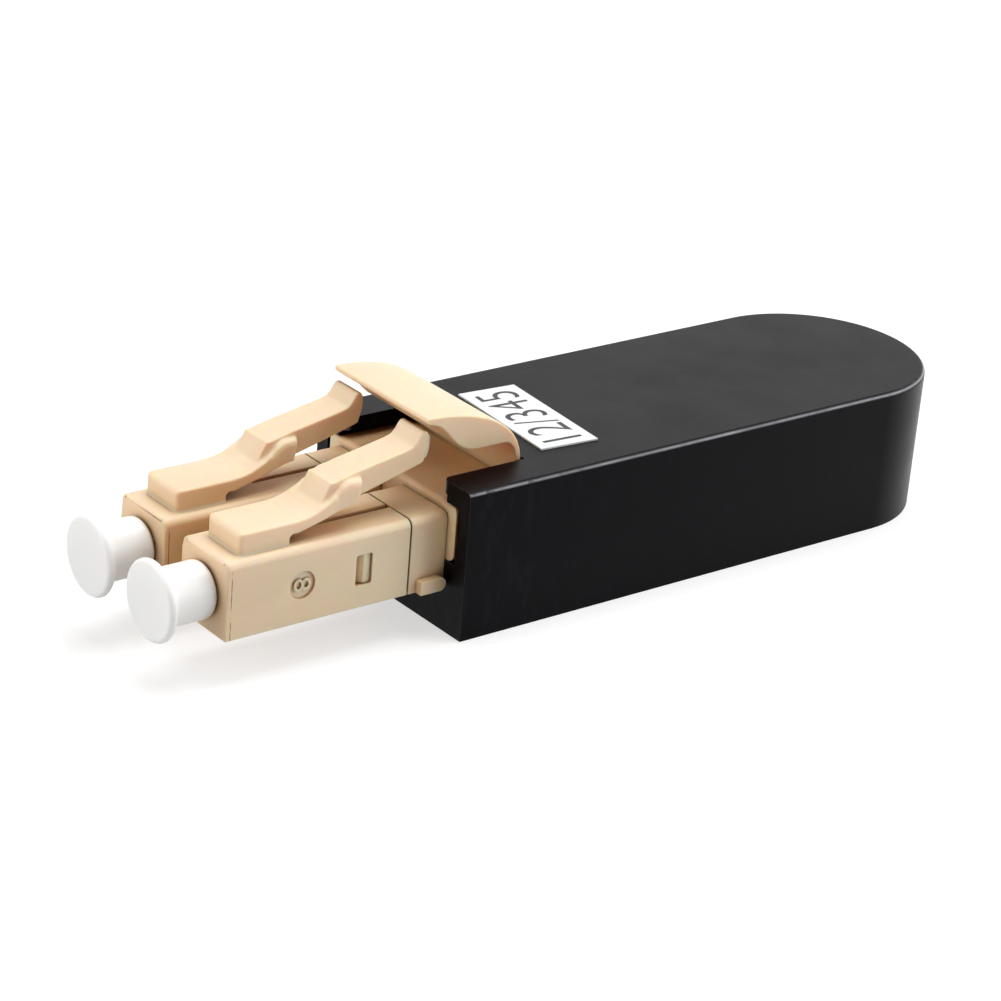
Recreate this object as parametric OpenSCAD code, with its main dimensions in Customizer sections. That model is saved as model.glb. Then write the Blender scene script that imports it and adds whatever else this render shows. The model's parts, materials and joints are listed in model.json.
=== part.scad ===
// Duplex fibre loopback plug: two latching connectors in a closed housing,
// joined at the back by one short loop of fibre.
// Row frame: +Y points to the round rear end, the connectors point to -Y,
// +X is the right-hand connector's side, Z = 0 is the flat base.
// Modules are written in the "port frame": its origin is the bottom centre of
// the housing's front face. at_port() moves them into the row frame.

/* [Housing] */
// Width of the housing across both connectors
housing_w = 14.6; // [14.2:0.1:18]
// Length of the housing from its front face to the round rear end
housing_l = 39.2; // [36:0.1:60]
// Height of the housing
housing_h = 9; // [8.8:0.1:10.5]
// Thickness of the side wall
wall_t = 1; // [0.8:0.05:1.1]
// Thickness of the roof
roof_t = 1.25; // [0.8:0.05:1.4]
// Thickness of the base cover
floor_t = 1.2; // [0.8:0.1:1.8]
// Rounding of the edge round the roof
edge_r = 0.35; // [0.1:0.05:0.6]
// Width of the roof notch that the trigger stands in
notch_w = 9.4; // [9.2:0.1:10.4]
// Length of the roof notch
notch_l = 5.75; // [5.6:0.05:8]
// Corner radius where the roof prongs end
prong_r = 0.5; // [0.1:0.1:0.8]
// Fillet between a prong's inner side and the ceiling
prong_fillet_r = 0.45; // [0.1:0.05:0.6]
// Height of the front wall below the clip
sill_h = 4.3; // [3.6:0.1:4.8]
// Thickness of the front wall below the clip
sill_t = 1.5; // [1:0.1:2.5]
// Diameter of the bosses that take the base cover's pegs
boss_d = 3.2; // [2.8:0.1:3.4]
// Distance from the front face to the front boss
boss_front = 12.6; // [12.4:0.1:14]
// Distance from the front face to the middle boss
boss_mid = 22; // [18:0.5:23]
// Diameter of the pegs
peg_d = 2; // [1.6:0.1:2.2]
// Length of the pegs
peg_l = 3.2; // [2:0.1:5]
// Wall of the drum that the fibre goes round
drum_wall = 1; // [0.8:0.1:1.5]

/* [Connectors] */
// Distance between the two connector axes
pitch = 6.25; // [6:0.05:6.6]
// Side of the square connector section
body_w = 4.52; // [4.4:0.02:4.8]
// Height of the connector axes above the base
axis_h = 4.95; // [4.8:0.05:5]
// Length of the front housing of a connector
front_l = 12; // [11.5:0.1:14]
// Length of the visible collar of the rear body
collar_l = 2.42; // [1.8:0.02:3]
// Rounding of the upper long edges of a connector
body_r = 0.45; // [0.1:0.05:0.6]
// Width of the slit in the top of the front housing
slit_w = 0.4; // [0.2:0.05:0.6]
// Length of that slit
slit_l = 5; // [3:0.1:5.6]
// Length of the side window along the connector
window_l = 1.1; // [0.8:0.1:1.4]
// Height of the side window
window_h = 1.85; // [1:0.05:2.4]
// Diameter of the round cavity mark
mark_d = 1.6; // [1:0.1:2.4]
// Depth of the round cavity mark
mark_depth = 0.08; // [0.04:0.01:0.2]
// Distance from the front face to the middle of the cavity mark
mark_set = 4.85; // [4:0.05:5.4]
// Distance from the collar to the side window
window_set = 2.55; // [2.2:0.05:2.8]
// Side of the socket that takes the rear body
socket_w = 3.6; // [3.4:0.05:3.8]
// Length of that socket
socket_l = 4.2; // [4:0.1:4.6]
// Distance from the front face to the shoulder that stops the flange
shoulder_set = 3.8; // [3.6:0.1:4]
// Distance from the collar's front edge to the spring's seat
seat_set = 1.8; // [1.4:0.1:2]
// Height of the key on each side of the collar
key_h = 0.8; // [0.6:0.05:1.2]
// Distance that the key stands out
key_out = 0.5; // [0.2:0.05:0.6]
// Distance from the collar's front edge to the key
key_set = 0.55; // [0.2:0.05:0.8]
// Distance from the housing's front face to the key's round rear end
key_gap = 0.15; // [0.05:0.05:0.4]
// Side of the clipped part of the rear body
grip_w = 4.2; // [4:0.05:4.3]
// Length of the clipped part of the rear body
grip_l = 4.4; // [3.6:0.1:4.8]
// Diameter of the rear body's tail
tail_d = 2; // [1.8:0.1:2.2]
// Length of the rear body's tail
tail_l = 4; // [3:0.1:5]

/* [Optics] */
// Diameter of a ferrule
ferrule_d = 1.25; // [1.2:0.01:1.3]
// Length of a ferrule
ferrule_l = 7.8; // [7.4:0.1:8.2]
// How far a ferrule stands out of the connector
ferrule_proud = 2; // [1.6:0.1:2.4]
// Length of the chamfer at a ferrule's tip
ferrule_tip_l = 0.25; // [0.15:0.05:0.5]
// Depth of that chamfer
ferrule_tip_r = 0.2; // [0.1:0.02:0.3]
// Diameter of the flange that holds a ferrule
flange_d = 2.9; // [2.6:0.05:2.95]
// Thickness of that flange
flange_t = 1.6; // [1.2:0.1:1.8]
// Diameter of the flange's barrel
barrel_d = 1.7; // [1.6:0.05:1.75]
// Length of the flange's barrel
barrel_l = 4.3; // [3.6:0.1:4.6]
// Distance that a ferrule floats back against its spring
float_l = 0.8; // [0.5:0.1:0.9]
// Outer diameter of the ferrule spring
spring_d = 2.5; // [2.3:0.05:2.55]
// Wire diameter of the ferrule spring
spring_wire = 0.3; // [0.2:0.02:0.36]
// Number of turns of the ferrule spring
spring_turns = 8; // [5:1:9]
// Outer diameter of the buffered fibre
fibre_d = 0.9; // [0.6:0.05:0.95]
// Radius of the fibre's turn round the drum
loop_r = 5.2; // [4.8:0.05:5.5]
// Radius of the S-bends that lead the fibre to the drum
bend_r = 12; // [10:0.5:16]
// Distance from the front face to the start of the S-bends
bend_y = 14; // [13:0.5:16]
// Diameter of a boot where it grips the rear body
boot_d = 2.8; // [2.6:0.05:3]
// Diameter of a boot at its tip
boot_tip_d = 1.7; // [1.5:0.05:1.8]
// Length of a boot
boot_l = 6; // [5.5:0.1:8]
// Length of a boot's straight part
boot_grip_l = 2.5; // [2:0.1:3]

/* [Latch] */
// Width of the latch arm and its lugs
latch_w = 3.2; // [2.8:0.1:3.4]
// Width of the narrow tail of the latch
latch_tail_w = 2.2; // [1.8:0.1:2.6]
// Length of the rigid block at the root of the latch
root_l = 3.45; // [3:0.05:3.6]
// Height of the rigid block at the root of the latch
root_h = 1.24; // [1.1:0.02:1.4]
// Distance from the front face to that block
root_set = 1.13; // [0.8:0.01:1.5]
// Rounding of that block
root_r = 0.35; // [0.2:0.05:0.5]
// Thickness of the latch arm where it turns
arm_root_t = 0.96; // [0.8:0.02:1.1]
// Distance from the latch's axis to the middle of its lugs
lug_set = 3.64; // [3.4:0.02:4]
// Height of that middle above the latch's axis
lug_rise = 1.33; // [1.2:0.01:1.6]
// Radius of the lugs' round tops
lug_r = 0.84; // [0.7:0.01:0.9]
// Radius of the bump at the end of the tail
bump_r = 0.25; // [0.15:0.05:0.35]

/* [Clip and trigger] */
// Length of the duplex clip
clip_l = 8; // [7.6:0.1:9]
// Rounding of the clip's long edges
clip_r = 0.5; // [0.2:0.05:0.8]
// Rounding of the clip's upper front edge
clip_front_r = 0.3; // [0.1:0.05:0.5]
// Length of the barb on each side of the clip
barb_l = 1.6; // [1:0.1:2.4]
// Height of that barb
barb_h = 1.6; // [1:0.1:2.4]
// Distance that the barb reaches into the housing's wall
barb_bite = 0.25; // [0.1:0.05:0.35]
// Distance from the front face to the barb
barb_set = 3.2; // [2:0.1:4]
// Height of the trigger's crest above the base
trigger_h = 12.62; // [12.6:0.02:13.2]
// Thickness of the trigger's rear wall
trigger_wall = 0.4; // [0.3:0.05:0.6]
// Height of the straight part of the trigger's rear wall
trigger_rise = 1.3; // [1:0.05:1.6]
// Distance that the trigger's lip stands out of the housing
lip_l = 1.12; // [0.6:0.02:1.2]
// Thickness of the trigger's lip
lip_t = 0.5; // [0.4:0.05:0.6]
// Thickness of the trigger under its crest
belly_t = 2.48; // [2:0.02:2.8]
// Distance from the front face to the front of the trigger's belly
belly_front = 2.5; // [2:0.1:2.8]
// Distance from the front face to the rear of the trigger's belly
belly_rear = 4.3; // [4:0.1:4.6]

/* [Dust caps] */
// Diameter of the cap's disc
cap_disc_d = 4.65; // [4.4:0.05:5.2]
// Thickness of the cap's disc
cap_disc_t = 0.5; // [0.4:0.05:0.8]
// Diameter of the cap's stem
cap_stem_d = 3.3; // [3.1:0.05:3.6]
// Distance that the cap stands out of the connector
cap_l = 3.48; // [3.2:0.02:4]
// Diameter of the cap's spigot inside the connector
cap_spigot_d = 2.4; // [2.1:0.05:2.45]
// Length of the cap's spigot
cap_spigot_l = 3; // [2:0.1:3.4]
// Rounding of the disc's front edge
cap_front_r = 0.25; // [0.1:0.05:0.25]
// Rounding of the disc's rear edge
cap_rear_r = 0.2; // [0.1:0.05:0.25]
// Fillet between the stem and the disc
cap_fillet_r = 0.45; // [0.1:0.05:0.5]
// Rounding of the stem's shoulder at the connector
cap_shoulder_r = 0.4; // [0.1:0.05:0.4]
// Room in the cap in front of the ferrule
cap_room = 0.4; // [0.2:0.1:0.8]

/* [Label] */
// Length of the label across the housing
label_w = 8.8; // [6:0.1:10]
// Width of the label along the housing
label_d = 3.9; // [3:0.1:6]
// Thickness of the label
label_t = 0.1; // [0.05:0.01:0.2]
// Distance from the front face to the middle of the label
label_y = 9.6; // [9:0.1:16]
// Slant of the label, as it was stuck on by hand
label_turn = -4.5; // [-6:0.5:6]

/* [Clearances] */
// Gap between fixed parts that slide together
fit_gap = 0.05; // [0.03:0.01:0.06]
// Radial gap of a part that is pressed on
press_gap = 0.01; // [0.005:0.005:0.02]
// Radial gap of a running part
run_gap = 0.03; // [0.02:0.01:0.05]
// Gap between a loose part and what surrounds it
loose_gap = 0.1; // [0.08:0.01:0.15]
// Gap between the clip's sides and the housing
clip_gap = 0.2; // [0.1:0.05:0.4]
// Gap between the trigger's sides and the roof notch
trigger_gap = 0.2; // [0.1:0.05:0.4]
// Gap between the trigger's rear wall and the end of the notch
notch_gap = 0.12; // [0.08:0.01:0.8]
// Gap between the trigger's lip and the latches' tails
tail_gap = 0.3; // [0.1:0.01:0.4]
// Distance that the latches' tails reach in under the lip
tail_lap = 0.23; // [0.1:0.01:0.6]
// Gap between a rear body's clipped part and its boot
boot_gap = 0.5; // [0.3:0.1:1]
// Gap between the ferrule at the end of its float and the fibre
fibre_gap = 0.2; // [0.1:0.05:0.4]

/* [Hidden] */
$fn = 48;
// A cut that ends in free air runs on by this much
over = 1;
// Radius of a corner that is left sharp
sharp_r = 0.01;

// Colours of the mouldings
black_plastic = [0.06, 0.06, 0.07];
beige_plastic = [0.87, 0.76, 0.61];
white_plastic = [0.95, 0.95, 0.94];

// Places along the port frame's Y
reach = front_l + collar_l + cap_l;
port_y = -(housing_l - reach) / 2;
face_y = -front_l - collar_l;
half_body = body_w / 2;
round_y = housing_l - housing_w / 2;

// Inside of the housing
cavity_half = housing_w / 2 - wall_t;
cavity_top = housing_h - roof_t;
slot_w = grip_w + 2 * fit_gap;

// Bores of a connector, from its front face back
front_bore_d = cap_spigot_d + 2 * loose_gap;
chamber_d = flange_d + 2 * loose_gap;
shoulder_y = face_y + shoulder_set;
spring_y = shoulder_y + run_gap + flange_t;
plug_w = socket_w - 2 * fit_gap;
plug_l = socket_l - loose_gap;
pocket_d = spring_d + 2 * loose_gap;
pocket_floor_y = -collar_l - seat_set;
barrel_bore_d = barrel_d + 2 * loose_gap;
fibre_bore_d = fibre_d + 2 * fit_gap;
window_y = -collar_l - window_set - window_l;
mark_y = face_y + mark_set;
snap_out = half_body - plug_w / 2 - loose_gap;

// Clip
clip_w = 2 * (cavity_half - clip_gap);
clip_bottom = sill_h + fit_gap;
clip_top = cavity_top - fit_gap;
clip_mid_z = (clip_bottom + clip_top) / 2;

// Trigger: its axis lies in a groove across the clip
trigger_w = notch_w - 2 * trigger_gap;
trigger_r = trigger_wall / 2;
trigger_y = notch_l - notch_gap - trigger_r;
trigger_z = clip_top;
lip_z = trigger_h - lip_t;
tip_r = lip_t / 4;

// Latch: its axis, and the end of its tail under the trigger's lip
body_top = axis_h + half_body;
latch_r = arm_root_t / 2;
latch_y = face_y + root_set + root_l;
latch_z = body_top + root_h - latch_r;
tail_end = tail_lap - lip_l - latch_y;
tail_top = lip_z - tail_gap - latch_z;

// Bosses inside the housing, on the centre line: the rear one carries the drum
boss_ys = [boss_front, boss_mid, round_y];
drum_d = 2 * loop_r - fibre_d - 2 * loose_gap;

// Boot behind the rear body
boot_y = grip_l + boot_gap;

// Route of the fibre: an S-bend takes it from the connector's axis out to the drum's radius
bend_shift = loop_r - pitch / 2;
bend_angle = acos(1 - bend_shift / (2 * bend_r));
bend_l = 2 * bend_r * sin(bend_angle);
fibre_end_y = face_y - ferrule_proud + ferrule_l + float_l + fibre_gap;

// ---------- helpers ----------

module at_port() translate([0, port_y, 0]) children();

// Puts a child drawn round the Y axis on the axis of a connector: side -1 is left, 1 is right
module on_axis(side) at_port() translate([side * pitch / 2, 0, axis_h]) children();

// Extrudes an XZ outline from y0 to y1
module along_y(y0, y1) translate([0, y1, 0]) rotate([90, 0, 0]) linear_extrude(y1 - y0) children();

// Extrudes a YZ outline to both sides of X = 0
module across_x(w) translate([-w / 2, 0, 0]) rotate([90, 0, 90]) linear_extrude(w) children();

// A round bar along Y
module bar(d, y0, y1) translate([0, y0, 0]) rotate([-90, 0, 0]) cylinder(d = d, h = y1 - y0);

// Revolves an outline of [radius, distance to the front] about the Y axis
module turned() rotate([90, 0, 0]) rotate_extrude() children();

// A centred rectangle with round corners
module round_rect(w, h, r) {
    square([w - 2 * r, h], center = true);
    square([w, h - 2 * r], center = true);
    for (x = [-1, 1], y = [-1, 1])
        translate([x * (w / 2 - r), y * (h / 2 - r)]) circle(r);
}

// Points of an arc round c, and of a cubic curve between p[0] and p[3]
function arc(c, r, a0, a1, n = 8) =
    [for (i = [0:n]) c + r * [cos(a0 + (a1 - a0) * i / n), sin(a0 + (a1 - a0) * i / n)]];
function curve(p, n = 10) =
    [for (i = [0:n]) let(t = i / n, s = 1 - t)
        s * s * s * p[0] + 3 * s * s * t * p[1] + 3 * s * t * t * p[2] + t * t * t * p[3]];

// A round wire swept along stations of [point, normal, second normal]
module swept(stations, d, sides) {
    last = len(stations) - 1;
    points = [for (s = stations, k = [0:sides - 1]) let(a = 360 * k / sides)
        s[0] + d / 2 * (cos(a) * s[1] + sin(a) * s[2])];
    skin = [for (i = [0:last - 1], k = [0:sides - 1]) let(n = (k + 1) % sides)
        [i * sides + n, i * sides + k, (i + 1) * sides + k, (i + 1) * sides + n]];
    front_cap = [for (k = [0:sides - 1]) k];
    rear_cap = [for (k = [sides - 1:-1:0]) last * sides + k];
    polyhedron(points, concat([front_cap], skin, [rear_cap]));
}

// ---------- housing ----------

// Half outline of the housing's section, with its top corner rounded
module half_section(half_w, h, r) {
    square([half_w - r, h]);
    square([half_w, h - r]);
    translate([half_w - r, h - r]) circle(r);
}

// A bar with a flat front at y0 and a round rear end
module stadium(y0, half_w, z0, h, r) translate([0, 0, z0]) {
    along_y(y0, round_y) {
        half_section(half_w, h, r);
        mirror([1, 0]) half_section(half_w, h, r);
    }
    translate([0, round_y, 0]) rotate_extrude(angle = 180) half_section(half_w, h, r);
}

// The notch in the roof, with the two prongs' corners rounded in plan and their undersides
// rounded along the notch
module roof_notch() {
    half_notch = notch_w / 2;
    difference() {
        union() {
            translate([-half_notch - prong_r, -over, cavity_top - fit_gap])
                cube([notch_w + 2 * prong_r, notch_l + over, roof_t + over]);
            along_y(-over, notch_l) difference() {
                translate([-half_notch - prong_fillet_r, cavity_top - fit_gap])
                    square([notch_w + 2 * prong_fillet_r, prong_fillet_r + fit_gap]);
                for (side = [-1, 1])
                    translate([side * (half_notch + prong_fillet_r), cavity_top + prong_fillet_r])
                        circle(prong_fillet_r);
            }
        }
        for (side = [-1, 1]) translate([side * (half_notch + prong_r), 0, cavity_top + prong_fillet_r]) {
            translate([0, prong_r, 0]) cylinder(r = prong_r, h = roof_t + over);
            translate([side * prong_r / 2, notch_l / 2 + prong_r, (roof_t + over) / 2])
                cube([3 * prong_r, notch_l, roof_t + over], center = true);
        }
    }
}

// Bosses that take the base cover's pegs; the rear one also carries the fibre's drum
module bosses() {
    boss_z = floor_t + fit_gap;
    boss_h = cavity_top - boss_z + fit_gap;
    for (y = boss_ys) translate([0, y, boss_z]) cylinder(d = boss_d, h = boss_h);
    translate([0, round_y, boss_z]) difference() {
        cylinder(d = drum_d, h = boss_h);
        translate([0, 0, -over]) cylinder(d = drum_d - 2 * drum_wall, h = boss_h + over - fit_gap);
    }
}

module housing_shell() color(black_plastic) at_port() {
    difference() {
        union() {
            difference() {
                stadium(0, housing_w / 2, 0, housing_h, edge_r);
                stadium(sill_t, cavity_half, -over, cavity_top + over, sharp_r);
            }
            bosses();
        }
        translate([-cavity_half, -over, sill_h])
            cube([2 * cavity_half, sill_t + 2 * over, cavity_top - sill_h]);
        roof_notch();
        for (side = [-1, 1]) {
            translate([side * pitch / 2 - slot_w / 2, -over, axis_h - slot_w / 2])
                cube([slot_w, sill_t + 2 * over, housing_h / 2]);
            translate([side * cavity_half, barb_set + barb_l / 2, clip_mid_z])
                cube([2 * barb_bite, barb_l, barb_h] + 2 * loose_gap * [1, 1, 1], center = true);
        }
        for (y = boss_ys) translate([0, y, 0])
            cylinder(d = peg_d + 2 * fit_gap, h = floor_t + peg_l + loose_gap);
    }
}

// Flush plate in the open underside, with three pegs up into the bosses
module base_cover() color(black_plastic) at_port() {
    stadium(sill_t + fit_gap, cavity_half - fit_gap, 0, floor_t, sharp_r);
    for (y = boss_ys) translate([0, y, floor_t - fit_gap])
        cylinder(d = peg_d, h = peg_l);
}

module label() color(white_plastic) at_port()
    translate([0, label_y, housing_h + label_t / 2]) rotate([0, 0, label_turn])
        cube([label_w, label_d, label_t], center = true);

// ---------- clip and trigger ----------

// Outline of the clip's block from the front
module clip_outline() translate([0, clip_mid_z]) round_rect(clip_w, clip_top - clip_bottom, clip_r);

// Wedge on the clip's side that snaps into the housing's wall: it slides in to the rear
// and its front face holds it there
module barb() translate([clip_w / 2 - fit_gap, barb_set, clip_mid_z - barb_h / 2]) linear_extrude(barb_h)
    polygon([[0, 0], [clip_gap + fit_gap + barb_bite, 0], [0, barb_l]]);

module duplex_clip() color(beige_plastic) at_port() {
    difference() {
        union() {
            intersection() {
                along_y(fit_gap, clip_l) clip_outline();
                across_x(clip_w + over) polygon(concat(
                    [[fit_gap, 0], [clip_l, 0], [clip_l, clip_top]],
                    arc([fit_gap + clip_front_r, clip_top - clip_front_r], clip_front_r, 90, 180, 5)));
            }
            for (side = [0, 1]) mirror([side, 0, 0]) barb();
        }
        for (side = [-1, 1]) translate([side * pitch / 2, 0, 0]) {
            translate([-slot_w / 2, -over, 0])
                cube([slot_w, grip_l + 2 * fit_gap + over, axis_h + slot_w / 2]);
            translate([-boot_d / 2 - loose_gap, 0, 0])
                cube([boot_d + 2 * loose_gap, clip_l + over, axis_h]);
            translate([0, 0, axis_h]) bar(boot_d + 2 * loose_gap, 0, clip_l + over);
        }
        translate([-trigger_w / 2 - loose_gap, trigger_y, trigger_z]) rotate([0, 90, 0])
            cylinder(r = trigger_r + run_gap, h = trigger_w + 2 * loose_gap);
    }
}

// One moulding: thin front lip, thick belly under the crest, thin rear wall.
// The round foot of the rear wall is the axis.
module trigger() color(beige_plastic) at_port() {
    rear_y = trigger_y + trigger_r;
    inner_y = trigger_y - trigger_r;
    nose_y = -lip_l + tip_r;
    bend_z = trigger_z + trigger_rise;
    belly_z = trigger_h - belly_t;
    crest_l = rear_y - nose_y;
    crest = curve([[nose_y, trigger_h], [nose_y + 0.35 * crest_l, trigger_h],
        [nose_y + 0.96 * crest_l, trigger_h - 0.2 * (trigger_h - bend_z)], [rear_y, bend_z]], 14);
    inside = curve([[inner_y, bend_z], [inner_y, bend_z + trigger_wall],
        [inner_y - trigger_r, belly_z], [belly_rear, belly_z]], 8);
    belly = curve([[belly_front, belly_z], [0.33 * belly_front, belly_z],
        [0.2 * belly_front, lip_z - 0.6 * lip_t], [-lip_t, lip_z]], 10);
    across_x(trigger_w) polygon(concat(
        arc([nose_y, trigger_h - tip_r], tip_r, 180, 90, 3), crest,
        [[rear_y, trigger_z]], arc([trigger_y, trigger_z], trigger_r, 0, -180, 12),
        inside, belly, [[nose_y, lip_z + tip_r], [-lip_l, lip_z + 2 * tip_r]]));
}

// ---------- fibre ----------

// Stations of the fibre on a ring round c, from angle a0 to a1, each with the normal to its
// right-hand side: turn is 1 where that normal points away from c and -1 where it points at c
function bend(c, r, a0, a1, turn, n, first = 0) =
    [for (i = [first:n]) let(a = a0 + (a1 - a0) * i / n, out = [cos(a), sin(a)]) [c + r * out, turn * out]];

// The right-hand half of the route: out of the ferrule, through the S-bend, up to the drum
right_route = concat(
    [[[pitch / 2, fibre_end_y], [1, 0]]],
    bend([pitch / 2 + bend_r, bend_y], bend_r, 180, 180 - bend_angle, -1, 5),
    bend([loop_r - bend_r, bend_y + bend_l], bend_r, -bend_angle, 0, 1, 5, first = 1));
left_route = [for (i = [len(right_route) - 1:-1:0])
    [for (v = right_route[i]) [-v[0], v[1]]]];

module fibre_loop() color(white_plastic) at_port() {
    route = concat(right_route, bend([0, round_y], loop_r, 0, 180, 1, 18), left_route);
    swept([for (s = route) [[s[0][0], s[0][1], axis_h], [s[1][0], s[1][1], 0], [0, 0, -1]]], fibre_d, 10);
}

// ---------- connector ----------

// Section of a connector round its axis, with its upper corners rounded
module body_outline() translate([0, -half_body]) {
    half_section(half_body, body_w, body_r);
    mirror([1, 0]) half_section(half_body, body_w, body_r);
}

module front_housing(side) color(beige_plastic) on_axis(side) {
    difference() {
        union() {
            along_y(face_y, -collar_l) body_outline();
            latch_root();
        }
        bar(front_bore_d, face_y - over, shoulder_y + over);
        bar(chamber_d, shoulder_y, -collar_l - socket_l + over);
        along_y(-collar_l - socket_l, -collar_l + over) square(socket_w, center = true);
        translate([-half_body - over, window_y, -window_h / 2])
            cube([body_w + 2 * over, window_l, window_h]);
        translate([-slit_w / 2, -collar_l - slit_l, 0]) cube([slit_w, slit_l + over, body_w]);
        translate([half_body - mark_depth, mark_y, 0]) rotate([0, 90, 0])
            cylinder(d = mark_d, h = over);
    }
}

// The rigid block that the latch arm grows from, with the seat of the arm's root
module latch_root() {
    seat_z = latch_z - axis_h;
    top_z = half_body + root_h;
    front_y = face_y + root_set;
    difference() {
        intersection() {
            along_y(face_y, latch_y) translate([0, top_z - root_h])
                round_rect(latch_w, 2 * root_h, root_r);
            across_x(latch_w + over) polygon(concat(
                [[front_y, 0], [latch_y, 0], [latch_y, top_z]],
                arc([front_y + root_r, top_z - root_r], root_r, 90, 180, 5)));
        }
        translate([-body_w, latch_y, seat_z]) rotate([0, 90, 0])
            cylinder(r = latch_r + run_gap, h = 2 * body_w);
        translate([-body_w, latch_y - latch_r / 2, half_body])
            cube([2 * body_w, over, seat_z - half_body]);
    }
}

// Arm, lugs and tail of the latch, with a round root that turns in the block's seat.
// The tail's top lies lower than the lugs and parts them.
module latch(side) color(beige_plastic) at_port() translate([side * pitch / 2, latch_y, latch_z]) {
    lug = arc([lug_set, lug_rise], lug_r, 125, -10, 10);
    arm_top = curve([[0, latch_r], [0.17 * lug_set, latch_r], [0.37 * lug_set, 0.59 * lug_rise],
        lug[0]], 8);
    tail_foot = [0.21 * tail_end, 0.31 * tail_top];
    tail_bend = [0.295 * tail_end, 0.445 * tail_top];
    bump = arc([0.965 * tail_end, tail_top - bump_r], bump_r, 160, 0, 5);
    bump_foot = [0.9 * tail_end, 0.785 * tail_top];
    difference() {
        across_x(latch_w) polygon(concat(
            arc([0, 0], latch_r, 270, 90, 12), arm_top, lug,
            [[lug_set + 0.9 * lug_r, 0.76 * lug_rise], [lug_set + 0.7 * lug_r, 0.69 * lug_rise],
             [1.07 * lug_set, 0.62 * lug_rise], [0.94 * lug_set, 0.55 * lug_rise],
             [0.42 * lug_set, 0.03 * lug_rise], [latch_r / 2, -0.63 * latch_r]]));
        across_x(latch_tail_w) polygon(
            [tail_foot, tail_bend, bump_foot, [tail_end, 2 * tail_top], [tail_foot[0], 2 * tail_top]]);
    }
    across_x(latch_tail_w) polygon(concat(
        [[0.155 * tail_end, 0.025 * tail_top], tail_foot, tail_bend, bump_foot], bump,
        [[tail_end, 0.67 * tail_top], [0.975 * tail_end, 0.54 * tail_top],
         [0.54 * tail_end, 0.25 * tail_top], [0.38 * tail_end, 0.19 * tail_top]]));
}

module rear_body(side) color(beige_plastic) on_axis(side) {
    difference() {
        union() {
            along_y(-collar_l - plug_l, -collar_l + over) square(plug_w, center = true);
            along_y(-collar_l + run_gap, 0) body_outline();
            along_y(-over, grip_l) square(grip_w, center = true);
            bar(tail_d, grip_l - over, grip_l + tail_l);
            for (s = [0, 1]) mirror([s, 0, 0]) {
                snap_tab();
                collar_key();
            }
        }
        bar(pocket_d, -collar_l - socket_l, pocket_floor_y);
        bar(barrel_bore_d, pocket_floor_y - over, 0);
        bar(fibre_bore_d, -over, grip_l + tail_l + over);
    }
}

// Wedge that snaps into the front housing's side window
module snap_tab() translate([plug_w / 2 - fit_gap, window_y + fit_gap, -window_h / 2 + fit_gap])
    linear_extrude(window_h - 2 * fit_gap)
        polygon([[0, 0], [snap_out, window_l / 2], [snap_out, window_l - 2 * fit_gap],
                 [0, window_l - 2 * fit_gap]]);

// Low key on each side of the collar, with a round rear end
module collar_key() translate([half_body - body_r, 0, key_h / 2 - half_body]) {
    translate([0, key_set - collar_l, -key_h / 2])
        cube([key_out + body_r, collar_l - key_set - key_gap - key_h / 2, key_h]);
    translate([0, -key_gap - key_h / 2, 0]) rotate([0, 90, 0])
        cylinder(d = key_h, h = key_out + body_r);
}

module ferrule(side) color("white") on_axis(side) {
    front = face_y - ferrule_proud;
    turned() polygon([
        [0, -front - ferrule_l], [ferrule_d / 2, -front - ferrule_l],
        [ferrule_d / 2, -front - ferrule_tip_l], [ferrule_d / 2 - ferrule_tip_r, -front], [0, -front]]);
}

module flange(side) color("silver") on_axis(side) {
    y0 = shoulder_y + run_gap;
    ferrule_end = face_y - ferrule_proud + ferrule_l;
    difference() {
        union() {
            bar(flange_d, y0, spring_y);
            bar(barrel_d, spring_y - fit_gap, spring_y + barrel_l);
        }
        bar(ferrule_d + 2 * press_gap, y0 - over, ferrule_end + press_gap);
        bar(fibre_bore_d, y0, spring_y + barrel_l + over);
    }
}

// Compression spring: round wire along a helix about the connector's axis
module spring(side) color("silver") on_axis(side) {
    per_turn = 12;
    steps = spring_turns * per_turn;
    r = (spring_d - spring_wire) / 2;
    y0 = spring_y + spring_wire / 2 + run_gap;
    y1 = pocket_floor_y - spring_wire / 2 - run_gap;
    swept([for (i = [0:steps]) let(a = 360 * i / per_turn, out = [cos(a), 0, sin(a)])
        [r * out + [0, y0 + (y1 - y0) * i / steps, 0], out, [0, 1, 0]]], spring_wire, 6);
}

// Tapered rubber boot pressed over the tail
module boot(side) color("dimgray") on_axis(side) turned() {
    tail_r = tail_d / 2 + press_gap;
    tail_y = grip_l + tail_l + fit_gap;
    polygon([
        [tail_r, -boot_y], [boot_d / 2, -boot_y], [boot_d / 2, -boot_y - boot_grip_l],
        [boot_tip_d / 2, -boot_y - boot_l], [fibre_bore_d / 2, -boot_y - boot_l],
        [fibre_bore_d / 2, -tail_y], [tail_r, -tail_y]]);
}

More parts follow.
